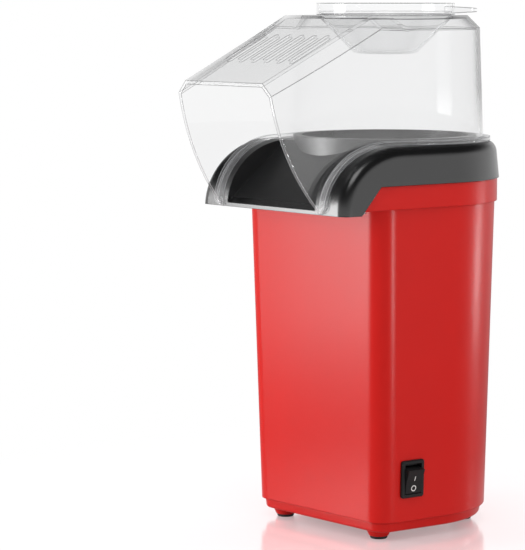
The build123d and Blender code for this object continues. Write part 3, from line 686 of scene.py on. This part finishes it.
class Finishes:
    """The finishes of this machine."""

    RED = MouldedPlastic(
        name="red_shell",
        colour=(0.60, 0.008, 0.005),
        rough=(0.28, 0.30),
        gloss=0.26,
        surface=MouldSurface.SATIN,
        mottle=0.02,
        edge_mm=1.1,
    )
    CHARCOAL = ChutePlastic(
        name="charcoal_collar",
        colour=(0.004, 0.004, 0.0043),
        rough=(0.24, 0.27),
        gloss=0.95,
        surface=MouldSurface.SATIN,
        mottle=0.06,
        edge_mm=0.4,
    )
    SWITCH = MouldedPlastic(
        name="switch_black",
        colour=(0.014, 0.014, 0.0145),
        rough=(0.32, 0.38),
        gloss=0.22,
        surface=MouldSurface.SATIN,
        mottle=0.05,
        edge_mm=0.25,
    )
    HEAT = MouldedPlastic(
        name="heat_plastic",
        colour=(0.05, 0.05, 0.055),
        rough=(0.45, 0.6),
        gloss=0.4,
        surface=MouldSurface.SPARKED,
        mottle=0.08,
        edge_mm=0.3,
    )
    DARK = MouldedPlastic(
        name="dark_parts",
        colour=(0.03, 0.03, 0.03),
        rough=(0.4, 0.55),
        gloss=0.4,
        surface=MouldSurface.SPARKED,
        mottle=0.08,
        edge_mm=0.2,
    )
    PRINT = MouldedPlastic(
        name="white_print",
        colour=(0.82, 0.82, 0.80),
        rough=(0.4, 0.5),
        gloss=0.4,
        surface=MouldSurface.POLISHED,
        mottle=0.03,
        edge_mm=0.0,
    )
    # The clear finishes paint lines of light and shade along their edges. The hood also gets a
    # painted dark outline where it is seen edge-on, and a painted grey sheen on its flange.
    HOOD = ClearPlastic(
        name="clear_hood",
        colour=(0.975, 0.976, 0.978),
        rough=(0.003, 0.012),
        wave_mm=0.02,
        gloss=(1.0, 0.13),
        edge_mm=(0.5, 0.45),
        edge_share=0.85,
        inner_gloss=0.2,
        rim_share=0.4,
        flange_share=0.20,
    )
    CUP = ClearPlastic(
        name="clear_cup",
        colour=(0.985, 0.986, 0.988),
        rough=(0.003, 0.012),
        wave_mm=0.015,
        gloss=(0.3, 0.3),
        edge_mm=(0.35, 0.35),
        edge_share=0.7,
        haze=7.0,
    )
    RUBBER = SoftRubber("black_rubber", (0.014, 0.014, 0.014), (0.03, 0.03, 0.031))
    SILICONE = SoftRubber("grey_silicone", (0.10, 0.10, 0.105), (0.15, 0.15, 0.155))
    ALUMINIUM = WorkedMetal("spun_aluminium", (0.80, 0.80, 0.81), (0.30, 0.36), MetalSurface.SPUN)
    STEEL = WorkedMetal("sheet_steel", (0.62, 0.62, 0.63), (0.28, 0.42), MetalSurface.ROLLED)
    ZINC = WorkedMetal("zinc_plate", (0.68, 0.69, 0.72), (0.24, 0.4), MetalSurface.PLATED)
    WIRE = WorkedMetal("resistance_wire", (0.42, 0.40, 0.38), (0.35, 0.5), MetalSurface.DRAWN, 0.0)
    BRASS = WorkedMetal("brass", (0.74, 0.57, 0.28), (0.25, 0.4), MetalSurface.ROLLED)
    MICA = FlakedSheet("pressed_mica", (0.48, 0.40, 0.30), (0.70, 0.63, 0.52), 2.4)
    BOARD = FlakedSheet("circuit_board", (0.035, 0.15, 0.06), (0.06, 0.22, 0.10), 0.8)


class SubAssembly(ABC):
    """A group of pieces that belong together and are dressed together."""

    @abstractmethod
    def build(self) -> list[str]:
        """Dresses the solids and adds pieces, and returns their names."""

    def dress(self, finish: Finish, *nodes: str) -> list[str]:
        """Gives solids a finish.

        Args:
            finish: The finish.
            *nodes: The names of the solids.

        Returns:
            The same names.
        """
        for node in nodes:
            solid = frame["nodes"][node]
            solid.data.materials.clear()
            solid.data.materials.append(finish.material())
        return list(nodes)

    def piece(
        self, name: str, shape: bmesh.types.BMesh, finish: Finish, body: str, slot: str
    ) -> bpy.types.Object:
        """Makes a piece of a mesh and lets it ride on a body.

        Args:
            name: The piece's name.
            shape: Its mesh, in the frame; it is freed.
            finish: Its finish.
            body: The body that carries it.
            slot: Not used.

        Returns:
            The piece.
        """
        mesh = bpy.data.meshes.new(name)
        bmesh.ops.recalc_face_normals(shape, faces=shape.faces)
        shape.to_mesh(mesh)
        shape.free()
        mesh.materials.append(finish.material())
        made = bpy.data.objects.new(name, mesh)
        bpy.context.scene.collection.objects.link(made)
        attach(made, body)
        return made


@dataclass
class RedHousing(SubAssembly):
    """The red housing with its base cover, feet, screws and the gland at the rear."""

    def build(self) -> list[str]:
        """Dresses the housing's solids.

        Returns:
            Their names.
        """
        names = self.dress(Finishes.RED, "body_shell", "base_cover")
        names += self.dress(Finishes.RUBBER, "foot_pads", "cord_gland")
        return names + self.dress(Finishes.ZINC, "base_screws", "deck_screws")


@dataclass
class ChuteCollar(SubAssembly):
    """The dark collar with its chute, and what fastens and seals it."""

    def build(self) -> list[str]:
        """Dresses the collar's solids.

        Returns:
            Their names.
        """
        names = self.dress(Finishes.CHARCOAL, "top_collar")
        names += self.dress(Finishes.ZINC, "collar_screws")
        return names + self.dress(Finishes.SILICONE, "chamber_gasket")


@dataclass
class ClearTop(SubAssembly):
    """The clear hood and the clear cup that closes it."""

    def build(self) -> list[str]:
        """Dresses the hood and the cup."""
        return self.dress(Finishes.HOOD, "lid") + self.dress(Finishes.CUP, "measuring_cup")


@dataclass
class HotAirUnit(SubAssembly):
    """The blower, the heater and the chamber that the hot air enters."""

    def build(self) -> list[str]:
        """Dresses the unit's solids.

        Returns:
            Their names.
        """
        names = self.dress(Finishes.ALUMINIUM, "popping_chamber")
        names += self.dress(
            Finishes.STEEL, "heater_shroud", "motor_can", "motor_shaft", "thermostat"
        )
        names += self.dress(Finishes.HEAT, "fan_housing", "fan_wheel", "motor_end_cap")
        names += self.dress(Finishes.ZINC, "motor_screws", "fan_nut")
        names += self.dress(Finishes.MICA, "mica_board_x", "mica_board_y")
        names += self.dress(Finishes.WIRE, "heating_coil")
        return names + self.dress(Finishes.BRASS, "thermal_fuse")


@dataclass
class SupplyBoard(SubAssembly):
    """The small board that feeds the motor."""

    def build(self) -> list[str]:
        """Dresses the board and its parts."""
        names = self.dress(Finishes.BOARD, "rectifier_board")
        return names + self.dress(Finishes.DARK, "rectifier_parts")


@dataclass
class RockerSwitch(SubAssembly):
    """The rocker switch low on the right wall, with its printed on and off marks.

    The marks lie on the key's face: each of their points is found by a ray straight at the wall.
    """

    pivot: Point = (54.1552 * MM, -3.6879 * MM, 34.7372 * MM)
    along: Point = (0.108091, 0.994141, 0.0)
    bar_half: Pair = (0.25 * MM, 1.35 * MM)
    bar_up: float = 0.4 * MM
    bar_core: float = 0.9
    ring_radii: Pair = (1.7 * MM, 1.22 * MM)
    ring_up: float = -5.2 * MM
    ring_steps: int = 40
    end_steps: int = 8
    stand: float = 0.04 * MM
    ray_start: float = 30 * MM

    def on_key(self, across: float, up: float, lift: float) -> Vector:
        """Finds a point on the key's face.

        Args:
            across: The distance along the wall from the pivot.
            up: The height over the pivot.
            lift: How far the point stands off the face.

        Returns:
            The point in the frame.
        """
        along = Vector(self.along)
        outward = Vector((along.y, -along.x, 0.0))
        start = Vector(self.pivot) + along * across + Vector((0.0, 0.0, up))
        start += outward * self.ray_start
        found, spot, normal, _ = frame["nodes"]["rocker"].ray_cast(start, -outward)
        if not found:
            raise ValueError("a mark of the switch lies beside its key")
        return spot + normal * lift

    def band(self, outer: list[Pair], inner: list[Pair]) -> bmesh.types.BMesh:
        """Builds a thin printed mark between two outlines of as many points.

        Args:
            outer: The outer outline, as distances along and up from the pivot.
            inner: The inner outline.

        Returns:
            The mark's mesh.
        """
        shape = bmesh.new()
        rows = []
        for line in (outer, inner):
            for lift in (self.stand, -self.stand):
                rows.append([shape.verts.new(self.on_key(a, u, lift)) for a, u in line])
        top_out, low_out, top_in, low_in = rows
        round_trip = (top_out, top_in, low_in, low_out, top_out)
        count = len(outer)
        for i in range(count):
            j = (i + 1) % count
            for left, right in zip(round_trip, round_trip[1:]):
                shape.faces.new((left[i], left[j], right[j], right[i]))
        return shape

    def ring_line(self, radius: float) -> list[Pair]:
        """Gives a circle's outline about the off mark's middle."""
        turns = [2 * math.pi * i / self.ring_steps for i in range(self.ring_steps)]
        return [(radius * math.cos(t), self.ring_up + radius * math.sin(t)) for t in turns]

    def bar_line(self, inset: float) -> list[Pair]:
        """Gives the on mark's outline, a bar with round ends.

        Args:
            inset: How far inside the bar's edge the outline runs.

        Returns:
            The points.
        """
        radius = self.bar_half[0] - inset
        reach = self.bar_half[1] - self.bar_half[0]
        points = []
        for end, first in ((1, 0.0), (-1, math.pi)):
            middle = self.bar_up + end * reach
            for i in range(self.end_steps + 1):
                turn = first + math.pi * i / self.end_steps
                points.append((radius * math.cos(turn), middle + radius * math.sin(turn)))
        return points

    def build(self) -> list[str]:
        """Dresses the switch and prints its marks.

        Returns:
            The names of the solids and the marks.
        """
        names = self.dress(Finishes.SWITCH, "switch_housing", "rocker")
        names += self.dress(Finishes.BRASS, "switch_terminals")
        ring = self.band(*(self.ring_line(radius) for radius in self.ring_radii))
        bar = self.band(self.bar_line(0.0), self.bar_line(self.bar_half[0] * self.bar_core))
        for name, mark in (("off_mark", ring), ("on_mark", bar)):
            names.append(self.piece(name, mark, Finishes.PRINT, "rocker", "black_plastic").name)
        return names


@dataclass
class Softbox:
    """A soft lamp with a flat front."""

    name: str
    place: Point
    aim: Point
    size: Pair
    radiance: float

    def build(self) -> None:
        """Hangs the lamp; its power follows from how bright its front looks."""
        lamp = bpy.data.lights.new(self.name, "AREA")
        lamp.shape = "RECTANGLE"
        lamp.size, lamp.size_y = self.size
        lamp.energy = self.radiance * math.pi * self.size[0] * self.size[1]
        hung = bpy.data.objects.new(self.name, lamp)
        hung.location = self.place
        ahead = Vector(self.aim) - Vector(self.place)
        hung.rotation_euler = ahead.to_track_quat("-Z", "Y").to_euler()
        hung.visible_camera = False
        bpy.context.scene.collection.objects.link(hung)


@dataclass
class Studio:
    """The pale floor, the white surroundings and the lamps.

    The floor keeps the machine's shadow close to it and fades to plain white further out. Near the
    machine the floor is tinted pink and glows pink to the camera: a painted red reflection of the
    housing, which also lightens the shadow. A mirror sees the near floor darker than the far one,
    and the surroundings dark overhead.
    """

    floor_radius: float = 12.0
    floor_sides: int = 96
    # The paper's pink tint is a painted red reflection of the housing.
    paper_painted_pink: Colour = (0.84, 0.77, 0.78)
    fade: Pair = (0.07, 0.30)
    least_white: float = 0.1
    # Painted light: a pink glow that only the camera sees, which lightens the near floor and its
    # shadow.
    lift: float = 0.44
    painted_glow_tone: Colour = (1.0, 0.74, 0.76)
    dusk: Pair = (0.5, 5.0)
    dusk_white: float = 0.35
    sky: Pair = (0.12, 0.5)
    ambient: float = 0.74
    overhead: float = 0.03

    def floor_material(self) -> bpy.types.Material:
        """Builds the floor's finish, which is shaded and painted pink near the machine and white
        further out.

        Returns:
            The material.
        """
        sheet = MaterialSheet("studio_floor")
        rays = sheet.rays()
        camera, glossy, through = (
            rays[f"Is {kind} Ray"] for kind in ("Camera", "Glossy", "Transmission")
        )
        reach = sheet.vector(
            "LENGTH", sheet.vector("MULTIPLY", sheet.place, LEVEL), output="Value"
        )
        # Painted red reflection: the paper is tinted pink and glows pink to the camera.
        paper = sheet.principled(
            {
                "Base Color": (*self.paper_painted_pink, 1.0),
                "Roughness": 0.17,
                "IOR": 1.9,
                "Coat Weight": 1.0,
                "Coat Roughness": 0.13,
                "Coat IOR": 1.9,
                "Emission Color": (*self.painted_glow_tone, 1.0),
                "Emission Strength": sheet.calc("MULTIPLY", camera, self.lift),
            }
        )
        mirrored = sheet.calc("SUBTRACT", glossy, through, clamp=True)
        dusk = sheet.remap(reach, self.dusk, self.dusk_white, 1.0)
        glow = sheet.remap(mirrored, UNIT, 1.0, dusk)
        white = sheet.add("ShaderNodeEmission", {"Strength": glow}).outputs["Emission"]
        seen = sheet.calc("MAXIMUM", camera, sheet.calc("MAXIMUM", glossy, through))
        share = sheet.remap(reach, self.fade, self.least_white, 1.0, smooth=True)
        return sheet.show(sheet.mix(sheet.calc("MULTIPLY", share, seen), paper, white))

    def lay_floor(self) -> None:
        """Lays the floor under the machine."""
        shape = bmesh.new()
        bmesh.ops.create_circle(
            shape, cap_ends=True, segments=self.floor_sides, radius=self.floor_radius
        )
        mesh = bpy.data.meshes.new("studio_floor")
        shape.to_mesh(mesh)
        shape.free()
        mesh.materials.append(self.floor_material())
        floor = bpy.data.objects.new("studio_floor", mesh)
        bpy.context.scene.collection.objects.link(floor)

    def paint_world(self) -> None:
        """Makes the surroundings white to see, darker overhead in reflections, and a soft light."""
        world = bpy.data.worlds.new("studio_world")
        world.use_nodes = True
        bpy.context.scene.world = world
        sheet = NodeSheet(world.node_tree, "ShaderNodeOutputWorld", "Generated")
        rays = sheet.rays()
        bent = sheet.calc("MAXIMUM", rays["Is Glossy Ray"], rays["Is Transmission Ray"])
        low = sheet.remap(sheet.part(sheet.place, "Z"), self.sky, 1.0, 0.0, smooth=True)
        shown = sheet.calc("MAXIMUM", rays["Is Camera Ray"], sheet.calc("MULTIPLY", bent, low))
        soft, white = (
            sheet.add("ShaderNodeBackground", {"Color": (1.0, 1.0, 1.0, 1.0), "Strength": strength})
            for strength in (sheet.remap(bent, UNIT, self.ambient, self.overhead), 1.0)
        )
        sheet.wire(sheet.mix(shown, soft.outputs["Background"], white.outputs["Background"]))

    def hang_lamps(self) -> None:
        """Hangs the soft lamps round the machine."""
        lamps = (
            Softbox("front_box", (-0.345, -0.47, 0.17), (0.02, -0.05, 0.14), (0.24, 0.33), 8.6),
            Softbox("corner_strip", (0.78, 0.10, 0.05), (0.0, 0.0, 0.12), (0.12, 0.10), 26.0),
            Softbox("rear_strip", (0.27, 0.75, 0.06), (0.0, 0.02, 0.12), (0.08, 0.11), 16.0),
            Softbox("roof_card", (-0.66, 0.30, 0.66), (0.0, -0.03, 0.25), (0.55, 0.45), 0.35),
            Softbox("top_box", (0.40, -0.34, 1.15), (0.0, 0.02, 0.2), (0.50, 0.50), 3.0),
        )
        for lamp in lamps:
            lamp.build()

    def build(self) -> None:
        """Sets up the studio."""
        self.lay_floor()
        self.paint_world()
        self.hang_lamps()
        bpy.context.scene.view_settings.view_transform = "Standard"


@dataclass
class Viewpoint:
    """The camera, at the place and angle of the photograph."""

    eye: Point = (1.02659, -0.94727, 0.30008)
    azimuth_deg: float = 49.30
    pitch_deg: float = 6.44
    focal_px: float = 2489.92
    frame_px: tuple[int, int] = (525, 550)
    sensor_mm: float = 36.0
    clip_start: float = 0.05

    def build(self) -> None:
        """Sets up the camera."""
        turn, pitch = math.radians(self.azimuth_deg), math.radians(self.pitch_deg)
        level = math.cos(pitch)
        ahead = Vector((-math.sin(turn) * level, math.cos(turn) * level, -math.sin(pitch)))
        lens = bpy.data.cameras.new("viewpoint")
        lens.sensor_width = self.sensor_mm
        lens.lens = self.sensor_mm * self.focal_px / max(self.frame_px)
        lens.clip_start = self.clip_start
        eye = bpy.data.objects.new("viewpoint", lens)
        eye.location = self.eye
        eye.rotation_euler = ahead.to_track_quat("-Z", "Y").to_euler()
        bpy.context.scene.collection.objects.link(eye)
        bpy.context.scene.camera = eye


def main() -> None:
    """Sets up the view and the studio, dresses the machine and reports its pieces."""
    logging.basicConfig(level=logging.INFO, format="%(name)s: %(message)s")
    Viewpoint().build()
    Studio().build()
    groups: list[SubAssembly] = [
        RedHousing(),
        ChuteCollar(),
        ClearTop(),
        HotAirUnit(),
        SupplyBoard(),
        RockerSwitch(),
    ]
    for group in groups:
        for name in group.build():
            LOG.info("%s: %s", type(group).__name__, name)


if __name__ == "__main__":
    main()
